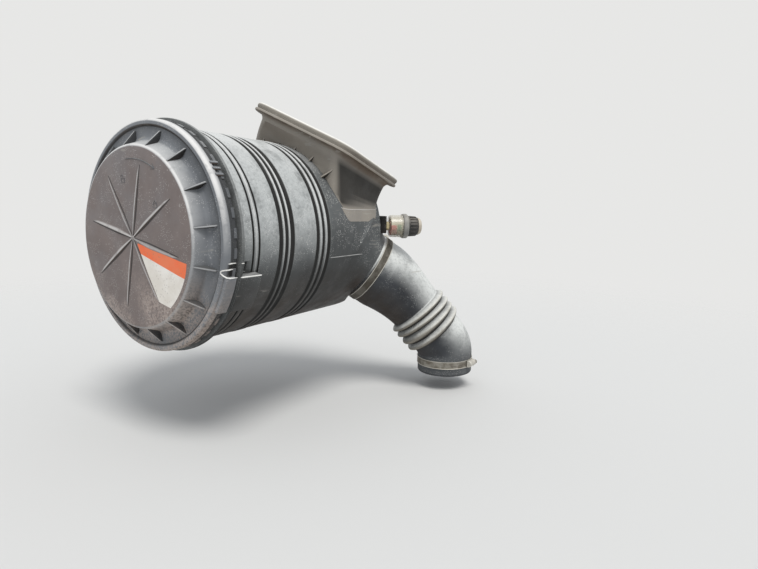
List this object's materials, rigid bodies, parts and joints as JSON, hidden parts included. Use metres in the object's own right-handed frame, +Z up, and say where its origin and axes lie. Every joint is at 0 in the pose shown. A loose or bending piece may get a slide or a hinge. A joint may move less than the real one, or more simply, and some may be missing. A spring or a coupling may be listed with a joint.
{
  "type": "engine air cleaner",
  "caption": "Cylindrical engine air cleaner with a bayonet cover, flared inlet duct, angled rubber outlet hose and wall bracket, from a school bus.",
  "frame": {"origin": "middle of the bracket's flat face that bolts to the cowl", "axes": "+Y into the cowl, -Y towards the front of the bus, -X the side that the service cover faces, +Z up"},
  "size_m": [0.5883, 0.4877, 0.4967],
  "materials": {
    "housing_plastic": "weathered grey-black moulded plastic",
    "cover_plastic": "dusty brown-grey moulded plastic",
    "duct_plastic": "faded brown-grey moulded plastic",
    "seal_rubber": "dusty foam rubber",
    "hose_rubber": "dusty rubber",
    "band_steel": "dull stainless band",
    "bolt_zinc": "dull zinc",
    "bracket_steel": "black paint",
    "indicator_black": "black plastic",
    "fitting_cream": "yellowed plastic",
    "indicator_clear": "clouded clear plastic",
    "gauge_red": "printed gauge, red and green",
    "indicator_grey": "grey plastic",
    "button_tan": "dusty rubber button",
    "element_paper": "filter paper"
  },
  "bodies": {
    "base": {"housing": "housing_plastic", "inlet_duct": "duct_plastic", "inlet_seal": "seal_rubber", "outlet_hose": "hose_rubber", "cuff_clamp_band": "band_steel", "cuff_clamp_screw_housing": "band_steel", "cuff_clamp_screw": "bolt_zinc", "engine_clamp_band": "band_steel", "engine_clamp_screw_housing": "band_steel", "engine_clamp_screw": "bolt_zinc", "indicator_block": "indicator_black", "indicator_hex": "fitting_cream", "indicator_body": "indicator_clear", "indicator_gauge": "gauge_red", "indicator_ring": "indicator_grey", "indicator_cap": "indicator_black", "indicator_button": "button_tan", "mount_bracket": "bracket_steel", "mount_bolt_1": "bolt_zinc", "mount_bolt_2": "bolt_zinc", "mount_bolt_3": "bolt_zinc", "mount_bolt_4": "bolt_zinc", "filter_element": "element_paper"},
    "cover": {"cover": "cover_plastic"}
  },
  "joints": [
    {"name": "cover_twist", "type": "hinge", "parent": "base", "child": "cover", "pos_m": [-0.215, -0.205, 0], "axis": [-1, 0, 0], "range_deg": [0, 20]}
  ]
}
